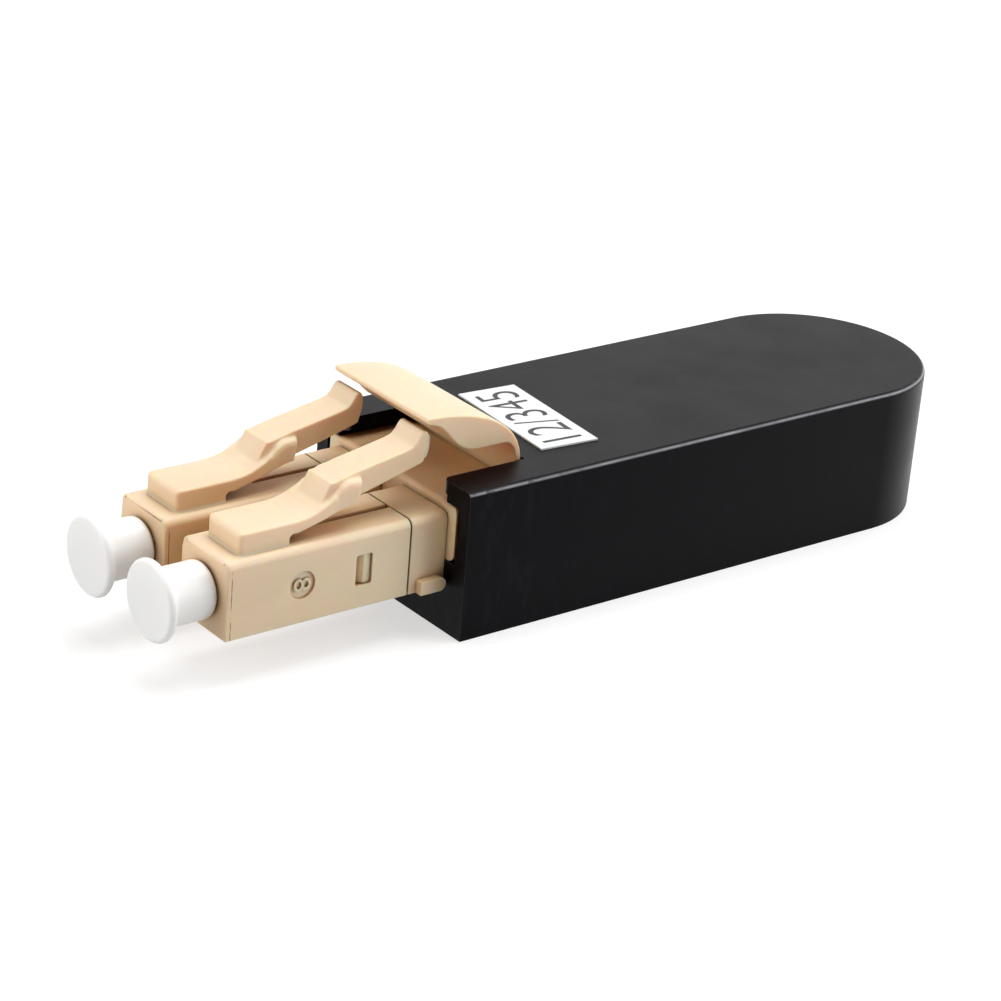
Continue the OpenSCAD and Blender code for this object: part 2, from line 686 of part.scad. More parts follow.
module dust_cap(side) color(white_plastic) on_axis(side) translate([0, face_y, 0]) {
    disc_r = cap_disc_d / 2;
    stem_r = cap_stem_d / 2;
    spigot_r = cap_spigot_d / 2;
    bore_r = ferrule_d / 2 + run_gap;
    neck_s = cap_l - cap_disc_t;
    bore_s = ferrule_proud + cap_room;
    turned() polygon(concat(
        [[0, bore_s], [0, cap_l]],
        arc([disc_r - cap_front_r, cap_l - cap_front_r], cap_front_r, 90, 0, 5),
        arc([disc_r - cap_rear_r, neck_s + cap_rear_r], cap_rear_r, 0, -90, 4),
        arc([stem_r + cap_fillet_r, neck_s - cap_fillet_r], cap_fillet_r, 90, 180, 6),
        arc([stem_r - cap_shoulder_r, cap_shoulder_r + fit_gap], cap_shoulder_r, 0, -90, 5),
        [[spigot_r, fit_gap], [spigot_r, -cap_spigot_l], [bore_r, -cap_spigot_l], [bore_r, bore_s]]));
}

housing_shell();
base_cover();
label();
duplex_clip();
trigger();
fibre_loop();
front_housing(-1);  // left_front_housing
front_housing(1);  // right_front_housing
latch(-1);  // left_latch
latch(1);  // right_latch
rear_body(-1);  // left_rear_body
rear_body(1);  // right_rear_body
ferrule(-1);  // left_ferrule
ferrule(1);  // right_ferrule
flange(-1);  // left_flange
flange(1);  // right_flange
spring(-1);  // left_spring
spring(1);  // right_spring
boot(-1);  // left_boot
boot(1);  // right_boot
dust_cap(-1);  // left_dust_cap
dust_cap(1);  // right_dust_cap
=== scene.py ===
# %% [markdown]
# # A duplex fibre loopback plug
# This lesson dresses a ready-made construction model of a fibre loopback plug: two latching
# connectors that stand in a black housing, joined by one loop of fibre inside. The shapes that
# carry the sizes come from that model. Blender adds what the eye looks for: rounded edges,
# moulded joints without a seam, a printed label, and the finish of each plastic.
# The model arrives in metres, in its own frame: +X is the right-hand connector, the connectors
# point to -Y, and Z is up.

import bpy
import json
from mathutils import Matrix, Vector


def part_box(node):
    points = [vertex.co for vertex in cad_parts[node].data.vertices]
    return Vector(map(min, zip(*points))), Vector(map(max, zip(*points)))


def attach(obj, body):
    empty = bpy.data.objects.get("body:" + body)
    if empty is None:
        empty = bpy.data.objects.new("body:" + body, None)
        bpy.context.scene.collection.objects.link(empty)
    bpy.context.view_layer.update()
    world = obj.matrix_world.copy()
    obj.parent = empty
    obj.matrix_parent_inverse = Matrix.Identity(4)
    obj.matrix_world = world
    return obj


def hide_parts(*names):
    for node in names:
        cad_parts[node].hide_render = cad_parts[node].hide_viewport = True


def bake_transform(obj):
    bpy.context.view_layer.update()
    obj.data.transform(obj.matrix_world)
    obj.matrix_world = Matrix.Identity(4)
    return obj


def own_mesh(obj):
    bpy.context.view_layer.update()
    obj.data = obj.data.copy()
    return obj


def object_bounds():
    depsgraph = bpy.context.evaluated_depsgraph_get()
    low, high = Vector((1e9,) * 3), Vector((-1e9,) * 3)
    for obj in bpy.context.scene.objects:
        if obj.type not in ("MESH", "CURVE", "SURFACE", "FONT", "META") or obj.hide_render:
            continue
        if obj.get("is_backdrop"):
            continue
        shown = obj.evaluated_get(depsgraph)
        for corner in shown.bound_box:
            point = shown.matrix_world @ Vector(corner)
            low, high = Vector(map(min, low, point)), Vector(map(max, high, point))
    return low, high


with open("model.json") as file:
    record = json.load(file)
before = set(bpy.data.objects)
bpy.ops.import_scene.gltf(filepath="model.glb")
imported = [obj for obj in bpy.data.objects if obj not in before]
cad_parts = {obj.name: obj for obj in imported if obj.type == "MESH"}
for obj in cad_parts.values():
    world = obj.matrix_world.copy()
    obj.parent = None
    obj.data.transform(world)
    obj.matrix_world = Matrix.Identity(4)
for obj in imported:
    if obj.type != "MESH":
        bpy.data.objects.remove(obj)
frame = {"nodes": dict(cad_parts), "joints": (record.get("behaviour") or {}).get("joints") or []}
cad_low, cad_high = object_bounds()
print("model box", [round(v * 1000, 2) for v in (*cad_low, *cad_high)])

# %% [markdown]
# Everything below uses millimetres in its numbers, because a plug this small is drawn that way.
# One helper turns them to Blender's metres. Another turns a colour as a designer writes it, in
# sRGB hex, to the linear values that Blender's light works with.

# %% Millimetres and colours
import json
import math

import bpy
from mathutils import Matrix, Vector

MM = 0.001


def mm(*values):
    """Millimetres to metres, as one number or a vector."""
    return values[0] * MM if len(values) == 1 else Vector(values) * MM


def linear(hex_colour):
    """A colour such as "EAD8B8" as linear red, green, blue and alpha."""
    parts = [int(hex_colour[i:i + 2], 16) / 255 for i in (0, 2, 4)]
    return (*(p / 12.92 if p <= 0.04045 else ((p + 0.055) / 1.055) ** 2.4 for p in parts), 1.0)


print("beige in linear light", [round(v, 3) for v in linear("EFDABC")])

# %% [markdown]
# The places of the joints come from the model's own record, so that each latch moulding is built around
# exactly the axis where the construction model's latch turns.

# %% Where the joints turn
joint_place = {j["name"]: Vector(j["pos_m"]) for j in frame["joints"] if j.get("pos_m")}
latch_axis = {side: joint_place[f"{side}_latch_flex"] for side in ("left", "right")}
print("joints at", {name: [round(v * 1000, 2) for v in place] for name, place in joint_place.items()})

# %% [markdown]
# ## Materials
# A material is a small network of nodes. It could be wired by hand in the shader editor, but a few
# lines are easier to read and to change. One helper adds a node, sets its settings and wires its
# inputs, so each material below reads as a short list of what the real surface is.
# A pattern reads Object coordinates, so it stays on the piece when the piece moves. The scale of a
# noise is PER_MM divided by the size of one of its patches in millimetres.

# %% The helper that adds a node
PER_MM = 1000


def wire(tree, node, inputs):
    """Sets a node's inputs to values, or links them to the outputs of other nodes."""
    for name, value in inputs.items():
        if isinstance(value, bpy.types.NodeSocket):
            tree.links.new(value, node.inputs[name])
        else:
            node.inputs[name].default_value = value


def add_node(tree, kind, inputs=None, **settings):
    """A new node with its settings and inputs."""
    node = tree.nodes.new(kind)
    for name, value in settings.items():
        setattr(node, name, value)
    wire(tree, node, inputs or {})
    return node


def new_material(name):
    """An empty material with its tree, the place on the piece and its surface shader."""
    material = bpy.data.materials.new(name)
    material.use_nodes = True
    tree = material.node_tree
    tree.nodes.clear()
    place = add_node(tree, "ShaderNodeTexCoord").outputs["Object"]
    surface = add_node(tree, "ShaderNodeBsdfPrincipled")
    add_node(tree, "ShaderNodeOutputMaterial", {"Surface": surface.outputs["BSDF"]})
    return material, tree, place, surface


print("helpers ready")

# %% [markdown]
# ### Black ABS, sanded to satin
# The housing is ABS moulded in black and rubbed down by hand with fine paper. Its rounded edges catch the
# light as a thin bright line, and that line is a painted highlight: a light grey painted into the colour,
# uneven along the edge. A painted map could hold that highlight, but it would have to be painted again after
# each change of shape. Here the painted highlight is found by how the surface leans: a rounded upper edge is
# neither flat like the roof nor upright like the sides, and a front corner faces both forwards and sideways.

# %% Painted highlight on the housing's edges
def painted_edge_highlight(tree, clouds):
    """How much painted highlight each edge gets, from 0 to 1: the upper ones most, the front ones a little.
    """
    facing = add_node(tree, "ShaderNodeNewGeometry")
    lean = add_node(tree, "ShaderNodeSeparateXYZ", {"Vector": facing.outputs["Normal"]})
    upper = add_node(tree, "ShaderNodeValToRGB", {"Fac": lean.outputs["Z"]})
    upright, flat = upper.color_ramp.elements
    upright.position, upright.color = 0.4, linear("000000")
    flat.position, flat.color = 0.9, linear("000000")
    upper.color_ramp.elements.new(0.66).color = linear("FFFFFF")
    sideways = add_node(tree, "ShaderNodeMath", {0: lean.outputs["X"]}, operation="ABSOLUTE")
    forwards = add_node(tree, "ShaderNodeMath", {0: lean.outputs["Y"], 1: -0.8}, operation="MULTIPLY")
    corner = add_node(tree, "ShaderNodeMath",
                      {0: sideways.outputs["Value"], 1: forwards.outputs["Value"]},
                      operation="MULTIPLY", use_clamp=True)
    edge = add_node(tree, "ShaderNodeMath", {0: upper.outputs["Color"], 1: corner.outputs["Value"]},
                    operation="MAXIMUM")
    uneven = add_node(tree, "ShaderNodeMapRange",
                      {"Value": clouds.outputs["Fac"], "From Min": 0.35, "From Max": 0.65,
                       "To Min": 0.5, "To Max": 1.0})
    highlight_share = add_node(tree, "ShaderNodeMath", {0: edge.outputs["Value"], 1: uneven.outputs["Result"]},
                    operation="MULTIPLY")
    return highlight_share.outputs["Value"]


print("wear ready")

# %% [markdown]
# The paper also left upright strokes on the sides. They are clearest near the front and fade over a
# few millimetres. Single scratches could be drawn one by one, but a noise that is stretched upwards
# gives as many as are wanted, and none repeats.

# %% Strokes of the sandpaper
STROKE_REACH = 9


def rubbing_strokes(tree, place, front):
    """Upright strokes, from 0 to 1, clearest at the front."""
    upright = add_node(tree, "ShaderNodeMapping", {"Vector": place, "Scale": (1.0, 1.0, 0.22)})
    strokes = add_node(tree, "ShaderNodeTexNoise",
                       {"Vector": upright.outputs["Vector"], "Scale": PER_MM / 0.55, "Detail": 3.0,
                        "Distortion": 0.6})
    rubbed = add_node(tree, "ShaderNodeMapRange",
                      {"Value": strokes.outputs["Fac"], "From Min": 0.52, "From Max": 0.66})
    along = add_node(tree, "ShaderNodeSeparateXYZ", {"Vector": place})
    near_front = add_node(tree, "ShaderNodeMapRange",
                          {"Value": along.outputs["Y"], "From Min": front + mm(STROKE_REACH),
                           "From Max": front, "To Min": 0.15, "To Max": 0.9})
    share = add_node(tree, "ShaderNodeMath",
                     {0: rubbed.outputs["Result"], 1: near_front.outputs["Result"]},
                     operation="MULTIPLY")
    return share.outputs["Value"]


print("strokes reach", STROKE_REACH, "mm back")

# %% [markdown]
# Between the edges, rubbed ABS reads as satin: broad soft reflections, a faint cloudiness where the
# rubbing was uneven, and short scratches. The grit leaves marks of about 0.02 mm, too fine to show,
# so they are drawn ten times as coarse and more. A low IOR and a dark specular tint keep the black
# deep, because a sanded surface throws back far less light than a polished one.

# %% Black ABS, sanded to satin
def make_black_abs(front):
    material, tree, place, surface = new_material("sanded_black_abs")
    clouds = add_node(tree, "ShaderNodeTexNoise",
                      {"Vector": place, "Scale": PER_MM / 6, "Detail": 4.0, "Roughness": 0.6})
    stretch = add_node(tree, "ShaderNodeMapping",
                       {"Vector": place, "Scale": (1.0, 4.0, 1.0), "Rotation": (0.35, 0.0, 0.0)})
    scratches = add_node(tree, "ShaderNodeTexNoise",
                         {"Vector": stretch.outputs["Vector"], "Scale": PER_MM / 0.9, "Detail": 5.0,
                          "Roughness": 0.7})
    dust = add_node(tree, "ShaderNodeTexNoise", {"Vector": place, "Scale": PER_MM / 0.22, "Detail": 2.0})
    height = add_node(tree, "ShaderNodeMath",
                      {0: scratches.outputs["Fac"], 1: dust.outputs["Fac"]}, operation="ADD")
    bump = add_node(tree, "ShaderNodeBump",
                    {"Height": height.outputs["Value"], "Strength": 0.12, "Distance": mm(0.02)})
    satin = add_node(tree, "ShaderNodeMapRange",
                     {"Value": clouds.outputs["Fac"], "From Min": 0.3, "From Max": 0.7,
                      "To Min": 0.30, "To Max": 0.40})
    # Painted highlight: the rounded edges are painted light grey B4B4B9 where the light draws a thin bright
    # line along them.
    bright = add_node(tree, "ShaderNodeMix",
                      {"Factor": painted_edge_highlight(tree, clouds), "A": linear("030305"),
                       "B": linear("B4B4B9")}, data_type="RGBA")
    colour = add_node(tree, "ShaderNodeMix",
                      {"Factor": rubbing_strokes(tree, place, front), "A": bright.outputs["Result"],
                       "B": linear("111116")}, data_type="RGBA")
    wire(tree, surface, {"Base Color": colour.outputs["Result"], "Roughness": satin.outputs["Result"],
                         "Normal": bump.outputs["Normal"], "IOR": 1.25,
                         "Specular Tint": linear("50505D")})
    return material


black_abs = make_black_abs(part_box("housing_shell")[0].y)
print("made", black_abs.name)

# %% [markdown]
# ### Beige PBT, moulded
# The connectors are moulded in beige PBT, a hard plastic that lets a little light in. Where two
# parts of the mould met, a thin line is left around the connector, just behind its front face. It
# could be a groove in the mesh, but it is as fine as a hair, so it is a tint: a thin band at one
# place along the connector, up to a height, broken by a noise.

# %% The mould's parting line
LINE_HALF = 0.025


def parting_line(tree, place, parting):
    """A thin broken line around the connector at parting.y, below parting.z."""
    along = add_node(tree, "ShaderNodeSeparateXYZ", {"Vector": place})
    line = add_node(tree, "ShaderNodeMath", {0: along.outputs["Y"], 1: parting.y, 2: mm(LINE_HALF)},
                    operation="COMPARE")
    below = add_node(tree, "ShaderNodeMath", {0: along.outputs["Z"], 1: parting.z},
                     operation="LESS_THAN")
    patches = add_node(tree, "ShaderNodeTexNoise",
                       {"Vector": place, "Scale": PER_MM / 0.7, "Detail": 2.0})
    broken = add_node(tree, "ShaderNodeMapRange",
                      {"Value": patches.outputs["Fac"], "From Min": 0.38, "From Max": 0.55})
    share = add_node(tree, "ShaderNodeMath",
                     {0: line.outputs["Value"], 1: broken.outputs["Result"]}, operation="MULTIPLY")
    share = add_node(tree, "ShaderNodeMath",
                     {0: share.outputs["Value"], 1: below.outputs["Value"]}, operation="MULTIPLY")
    return share.outputs["Value"]


print("the line is", 2 * LINE_HALF, "mm wide")

# %% [markdown]
# Light that enters beige PBT comes out warmer, and subsurface scattering lets a little of it glow through
# the plastic. The shade where walls face each other, and in narrow slits, is painted into the colour from
# Ambient Occlusion, which measures how much room there is in front of a point: within a few millimetres a
# closed-in place is painted darker and warmer, and within one millimetre slits, seams and inner corners are
# painted dark brown. The skin of a moulding is never quite even, so a slow noise, stretched along the flow
# of the melt, tints it, and a fine one breaks the gloss.

# %% Beige PBT, moulded
# Painted shade: how far Ambient Occlusion looks, a few millimetres for the darker, warmer closed-in places
# and under one for the dark brown in slits and inner corners.
WIDE_SHADE_REACH, SLIT_SHADE_REACH = 5, 0.9


def make_beige_pbt(name, parting=None):
    material, tree, place, surface = new_material(name)
    flow = add_node(tree, "ShaderNodeMapping", {"Vector": place, "Scale": (1.0, 0.35, 1.0)})
    clouds = add_node(tree, "ShaderNodeTexNoise",
                      {"Vector": flow.outputs["Vector"], "Scale": PER_MM / 3.5, "Detail": 3.0})
    tint = add_node(tree, "ShaderNodeValToRGB", {"Fac": clouds.outputs["Fac"]})
    deep, pale = tint.color_ramp.elements
    deep.position, deep.color = 0.3, linear("EAD2B0")
    pale.position, pale.color = 0.7, linear("F0DABC")
    # Painted shade: the less room is open around a point, the higher the gamma, so the colour is painted
    # darker and warmer there.
    room = add_node(tree, "ShaderNodeAmbientOcclusion", {"Distance": mm(WIDE_SHADE_REACH)}, samples=6)
    shade_gamma = add_node(tree, "ShaderNodeMapRange",
                      {"Value": room.outputs["AO"], "From Min": 0.2, "From Max": 0.8,
                       "To Min": 2.0, "To Max": 1.0})
    painted_shade = add_node(tree, "ShaderNodeGamma",
                    {"Color": tint.outputs["Color"], "Gamma": shade_gamma.outputs["Result"]})
    # Painted shade: slits, seams and inner corners are mixed toward dark brown 7A4419.
    slit = add_node(tree, "ShaderNodeAmbientOcclusion", {"Distance": mm(SLIT_SHADE_REACH)}, samples=6)
    depth = add_node(tree, "ShaderNodeMapRange",
                     {"Value": slit.outputs["AO"], "From Min": 0.1, "From Max": 0.68,
                      "To Min": 1.0, "To Max": 0.0})
    colour = add_node(tree, "ShaderNodeMix",
                      {"Factor": depth.outputs["Result"], "A": painted_shade.outputs["Color"],
                       "B": linear("7A4419")}, data_type="RGBA")
    if parting is not None:
        colour = add_node(tree, "ShaderNodeMix",
                          {"Factor": parting_line(tree, place, parting),
                           "A": colour.outputs["Result"], "B": linear("8E5137")}, data_type="RGBA")
    grain = add_node(tree, "ShaderNodeTexNoise", {"Vector": place, "Scale": PER_MM / 0.25, "Detail": 3.0})
    bump = add_node(tree, "ShaderNodeBump",
                    {"Height": grain.outputs["Fac"], "Strength": 0.10, "Distance": mm(0.02)})
    gloss = add_node(tree, "ShaderNodeMapRange",
                     {"Value": grain.outputs["Fac"], "From Min": 0.3, "From Max": 0.7,
                      "To Min": 0.42, "To Max": 0.52})
    wire(tree, surface, {"Base Color": colour.outputs["Result"], "Roughness": gloss.outputs["Result"],
                         "Normal": bump.outputs["Normal"], "IOR": 1.50, "Subsurface Weight": 0.75,
                         "Subsurface Radius": (1.0, 0.4, 0.12), "Subsurface Scale": mm(0.7)})
    return material


PARTING_FROM_FRONT, PARTING_HEIGHT = 0.3, 4.1
body_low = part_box("right_front_housing")[0]
beige_pbt = make_beige_pbt("moulded_beige_pbt")
parted_pbt = make_beige_pbt("moulded_beige_pbt_with_parting_line",
                            body_low + mm(0, PARTING_FROM_FRONT, PARTING_HEIGHT))
print("made", beige_pbt.name, "and", parted_pbt.name)

# %% [markdown]
# ### White polyethylene, moulded
# The dust caps are soft polyethylene, white and waxy. A plain white would look like painted metal.
# Subsurface scattering lets the light run far in, so the shadows are pale and the form is soft, and
# a faint noise gives the wax its uneven gloss.

# %% White polyethylene, moulded
def make_white_pe():
    material, tree, place, surface = new_material("moulded_white_polyethylene")
    skin = add_node(tree, "ShaderNodeTexNoise", {"Vector": place, "Scale": PER_MM / 0.6, "Detail": 3.0})
    bump = add_node(tree, "ShaderNodeBump",
                    {"Height": skin.outputs["Fac"], "Strength": 0.06, "Distance": mm(0.02)})
    wax = add_node(tree, "ShaderNodeMapRange",
                   {"Value": skin.outputs["Fac"], "To Min": 0.30, "To Max": 0.42})
    wire(tree, surface, {"Base Color": linear("F9F8F5"), "Roughness": wax.outputs["Result"],
                         "Normal": bump.outputs["Normal"], "IOR": 1.51, "Subsurface Weight": 0.5,
                         "Subsurface Radius": (1.0, 0.9, 0.8), "Subsurface Scale": mm(0.8)})
    return material


white_pe = make_white_pe()
print("made", white_pe.name)

# %% [markdown]
# ### Coated paper and thermal print
# The label is coated paper with digits printed by heat transfer. The coating is smooth, the paper
# below it slightly fibrous, and the print is a thin black film with a little more gloss. The fibres
# are a noise, drawn coarser than real ones so that they show.

# %% Coated paper and thermal print
def make_label_paper():
    material, tree, place, surface = new_material("coated_label_paper")
    fibres = add_node(tree, "ShaderNodeTexNoise", {"Vector": place, "Scale": PER_MM / 0.4, "Detail": 5.0})
    bump = add_node(tree, "ShaderNodeBump",
                    {"Height": fibres.outputs["Fac"], "Strength": 0.08, "Distance": mm(0.01)})
    shade = add_node(tree, "ShaderNodeMix",
                     {"Factor": fibres.outputs["Fac"], "A": linear("E6E9EA"), "B": linear("F2F4F5")},
                     data_type="RGBA")
    wire(tree, surface, {"Base Color": shade.outputs["Result"], "Roughness": 0.5,
                         "Normal": bump.outputs["Normal"], "IOR": 1.46})
    return material


def make_thermal_print():
    material, tree, place, surface = new_material("thermal_print_black")
    film = add_node(tree, "ShaderNodeTexNoise", {"Vector": place, "Scale": PER_MM / 0.2, "Detail": 2.0})
    gloss = add_node(tree, "ShaderNodeMapRange",
                     {"Value": film.outputs["Fac"], "To Min": 0.25, "To Max": 0.45})
    wire(tree, surface, {"Base Color": linear("141517"), "Roughness": gloss.outputs["Result"],
                         "IOR": 1.45})
    return material


label_paper = make_label_paper()
thermal_print = make_thermal_print()
print("made", label_paper.name, "and", thermal_print.name)

# %% [markdown]
# ### Finishes inside the plug
# Five finishes are hidden until a cap is pulled or the housing opened: zirconia ceramic, polished
# to a hard gloss; nickel silver, turned on a lathe; spring steel, drawn to wire; the black rubber
# of the boots; and the smooth plastic skin of the fibre. They differ in colour, gloss and the size
# of their marks, so one function makes all five from those values. The metals keep the default IOR.

# %% Finishes inside the plug
def make_inner(name, colour, roughness, ior=None, metallic=0.0, spacing=0.3, strength=0.05):
    """A finish with marks so many millimetres apart, and a gloss that varies a little with them."""
    material, tree, place, surface = new_material(name)
    marks = add_node(tree, "ShaderNodeTexNoise", {"Vector": place, "Scale": PER_MM / spacing, "Detail": 3.0})
    bump = add_node(tree, "ShaderNodeBump",
                    {"Height": marks.outputs["Fac"], "Strength": strength, "Distance": mm(0.01)})
    gloss = add_node(tree, "ShaderNodeMapRange",
                     {"Value": marks.outputs["Fac"], "To Min": roughness * 0.85,
                      "To Max": roughness * 1.15})
    wire(tree, surface, {"Base Color": linear(colour), "Roughness": gloss.outputs["Result"],
                         "Normal": bump.outputs["Normal"], "Metallic": metallic})
    if ior:
        surface.inputs["IOR"].default_value = ior
    return material


zirconia = make_inner("polished_zirconia", "F4F2EC", 0.12, ior=2.1, strength=0.01)
nickel_silver = make_inner("turned_nickel_silver", "C9C4B8", 0.28, metallic=1.0, spacing=0.15)
spring_steel = make_inner("drawn_spring_steel", "A9AAAD", 0.3, metallic=1.0, spacing=0.2)
boot_rubber = make_inner("moulded_black_rubber", "1A1A1B", 0.7, ior=1.52, strength=0.2)
fibre_buffer = make_inner("extruded_fibre_buffer", "E9EEF0", 0.45, ior=1.5)
print("made five inner finishes")

# %% [markdown]
# ## The construction model's own pieces
# Their shapes are right already, but every edge of a construction model is sharp, and a real
# moulding never is: the light catches a thin line along each edge. The edges could be bevelled by
# hand, one by one. Four live modifiers do it without touching the model's mesh: Weld joins the
# loose triangles, a planar Decimate makes each flat face one piece, Bevel rounds every edge that
# turns by more than a set angle, and Weighted Normal keeps the flat faces looking flat.

# %% Rounded edges
JOIN, FLAT, SHARP = mm(0.0005), math.radians(0.5), math.radians(32)


def round_edges(piece, width):
    """Rounds the sharp edges of a piece by width millimetres."""
    piece.modifiers.new("join", "WELD").merge_threshold = JOIN
    flat = piece.modifiers.new("flat faces", "DECIMATE")
    flat.decimate_type = "DISSOLVE"
    flat.angle_limit = FLAT
    edge = piece.modifiers.new("round", "BEVEL")
    edge.width = mm(width)
    edge.segments = 3
    edge.limit_method = "ANGLE"
    edge.angle_limit = SHARP
    edge.harden_normals = False
    even = piece.modifiers.new("shade", "WEIGHTED_NORMAL")
    even.keep_sharp = False


print("ready to round edges")

# %% [markdown]
# One list gives each model piece its finish and the rounding of its edges in millimetres. Turned,
# drawn and thin pieces need no rounding here: the model has it, or it is too small to see.

# %% Dress the model's pieces
def dress(piece, material):
    """Gives a piece one material."""
    piece.data.materials.clear()
    piece.data.materials.append(material)


finish_of = {
    "housing_shell": (black_abs, 0.12), "base_cover": (black_abs, 0.08),
    "label": (label_paper, None), "duplex_clip": (beige_pbt, 0.10), "trigger": (beige_pbt, 0.10),
    "fibre_loop": (fibre_buffer, None),
}
for side in ("left", "right"):
    finish_of.update({
        f"{side}_rear_body": (beige_pbt, 0.05), f"{side}_ferrule": (zirconia, None),
        f"{side}_flange": (nickel_silver, None),
        f"{side}_boot": (boot_rubber, None), f"{side}_dust_cap": (white_pe, None),
    })
for name, (material, width) in finish_of.items():
    node = frame["nodes"][name]
    dress(node, material)
    if width:
        round_edges(node, width)
print("dressed", len(finish_of), "pieces")

# %% [markdown]
# ## Mouldings that Blender joins
# On the real plug each latch arm grows out of its connector without a seam: it is one moulding
# that bends at its root. The construction model has to split it there, so that the arm can turn.
# Here the two are joined again. Operators act on all that is selected, so the first helper picks
# one piece alone. The next ones join a piece's loose triangles into whole faces, and copy a model
# piece in that way.

# %% Picking and copying a piece
def pick(piece):
    """Selects one piece alone and makes it active."""
    bpy.ops.object.select_all(action="DESELECT")
    piece.select_set(True)
    bpy.context.view_layer.objects.active = piece


def join_faces(piece):
    """Merges doubled points, and triangles that lie in one plane."""
    pick(piece)
    bpy.ops.object.mode_set(mode="EDIT")
    bpy.ops.mesh.select_all(action="SELECT")
    bpy.ops.mesh.remove_doubles(threshold=JOIN)
    bpy.ops.mesh.dissolve_limited(angle_limit=FLAT)
    bpy.ops.object.mode_set(mode="OBJECT")


def copy_of(node, name):
    """A copy of a model piece, with a mesh of its own."""
    piece = bpy.data.objects.new(name, frame["nodes"][node].data.copy())
    bpy.context.collection.objects.link(piece)
    join_faces(piece)
    return piece


print("ready to copy")

# %% [markdown]
# Solids are cut and joined as in a workshop: a block or a round bar is set in its place, and then
# added to the piece or taken away from it with a Boolean modifier that is applied at once.

# %% Blocks, bars and cutting
def block(low, high):
    """A box between two corners."""
    bpy.ops.mesh.primitive_cube_add(size=1.0, location=(low + high) / 2, scale=high - low)
    bpy.ops.object.transform_apply(location=True, rotation=True, scale=True)
    return bpy.context.object


def bar_across(centre, radius, length):
    """A round bar along X."""
    bpy.ops.mesh.primitive_cylinder_add(vertices=48, radius=radius, depth=length, location=centre,
                                        rotation=(0, math.pi / 2, 0))
    bpy.ops.object.transform_apply(location=True, rotation=True, scale=True)
    return bpy.context.object


def combine(piece, tool, operation):
    """Adds the tool to the piece or takes it away, and removes the tool."""
    pick(piece)
    step = piece.modifiers.new("combine", "BOOLEAN")
    step.operation = operation
    step.solver = "EXACT"
    step.object = tool
    bpy.ops.object.modifier_apply(modifier=step.name)
    bpy.data.objects.remove(tool)


def sliced(piece, point, outward):
    """Cuts a piece by a plane and keeps what lies behind it."""
    pick(piece)
    bpy.ops.object.mode_set(mode="EDIT")
    bpy.ops.mesh.select_all(action="SELECT")
    bpy.ops.mesh.bisect(plane_co=point, plane_no=outward, use_fill=True, clear_outer=True,
                        threshold=mm(0.001))
    bpy.ops.object.mode_set(mode="OBJECT")


print("ready to cut and join")

# %% [markdown]
# Some edges need a larger round than the rest. They are chosen by where their middle lies and which
# way they run, and then bevelled in edit mode. Places closer than NEAR count as the same.

# %% Rounding chosen edges
NEAR = mm(0.01)


def bevel_edges(piece, chosen, width, segments):
    """Rounds the edges for which chosen(middle of the edge, its direction) is true."""
    pick(piece)
    bpy.ops.object.mode_set(mode="EDIT")
    bpy.ops.mesh.select_mode(type="EDGE")
    bpy.ops.mesh.select_all(action="DESELECT")
    bpy.ops.object.mode_set(mode="OBJECT")
    points = piece.data.vertices
    for edge in piece.data.edges:
        first, last = (points[v].co for v in edge.vertices)
        edge.select = chosen((first + last) / 2, (last - first).normalized())
    bpy.ops.object.mode_set(mode="EDIT")
    bpy.ops.mesh.bevel(offset=mm(width), segments=segments, affect="EDGES")
    bpy.ops.object.mode_set(mode="OBJECT")


print("ready to round chosen edges")

# %% [markdown]
# ### The latches
# A latch is drawn as a few bars. Each could be a stretched cube with its points moved, but then the
# bends would be hard to read. Instead each is pulled out along the connector, from station to
# station, as a profile is pulled through a die. A station says how far the bar has come, where its
# underside is and where its top is, in millimetres from the latch's axis.

# %% Pulling a bar through its stations
def pulled(axis, x_low, x_high, stations):
    """A bar between two sides, through stations of (along Y, underside, top) in millimetres."""
    middle = (x_low + x_high) / 2
    along, low, top = stations[0]
    here = axis + mm(middle, along, (low + top) / 2)
    bpy.ops.object.select_all(action="DESELECT")
    bpy.ops.mesh.primitive_plane_add(size=mm(1), location=here, rotation=(math.pi / 2, 0, 0))
    bpy.ops.object.transform_apply(location=True, rotation=True, scale=True)
    bar = bpy.context.object
    bpy.ops.object.mode_set(mode="EDIT")
    bpy.ops.mesh.select_mode(type="FACE")
    bpy.ops.mesh.select_all(action="SELECT")
    bpy.ops.transform.resize(value=(x_high - x_low, 1.0, top - low), center_override=here)
    height = top - low
    for along, low, top in stations[1:]:
        there = axis + mm(middle, along, (low + top) / 2)
        bpy.ops.mesh.extrude_region_move(TRANSFORM_OT_translate={"value": there - here})
        bpy.ops.transform.resize(value=(1.0, 1.0, (top - low) / height), center_override=there)
        here, height = there, top - low
    bpy.ops.mesh.select_all(action="SELECT")
    bpy.ops.mesh.normals_make_consistent(inside=False)
    bpy.ops.object.mode_set(mode="OBJECT")
    return bar


print("ready to pull bars")

# %% [markdown]
# Every outer edge of a moulding is rounded and every inner corner filled a little. A Bevel would
# have to solve all the places where bars meet, and it fails at some of them. So Remesh lays an even
# skin of small cells over the joined bars, and Smooth relaxes that skin, which rounds the edges and
# fills the corners alike. Remesh takes no cell as small as these, so the piece is grown a
# thousandfold first and shrunk again afterwards.

# %% Softening a moulding
GROWTH = 1000


def resized(piece, factor):
    """Grows or shrinks a piece's mesh about the origin."""
    pick(piece)
    bpy.ops.object.mode_set(mode="EDIT")
    bpy.ops.mesh.select_all(action="SELECT")
    bpy.ops.transform.resize(value=(factor, factor, factor), center_override=(0, 0, 0))
    bpy.ops.object.mode_set(mode="OBJECT")


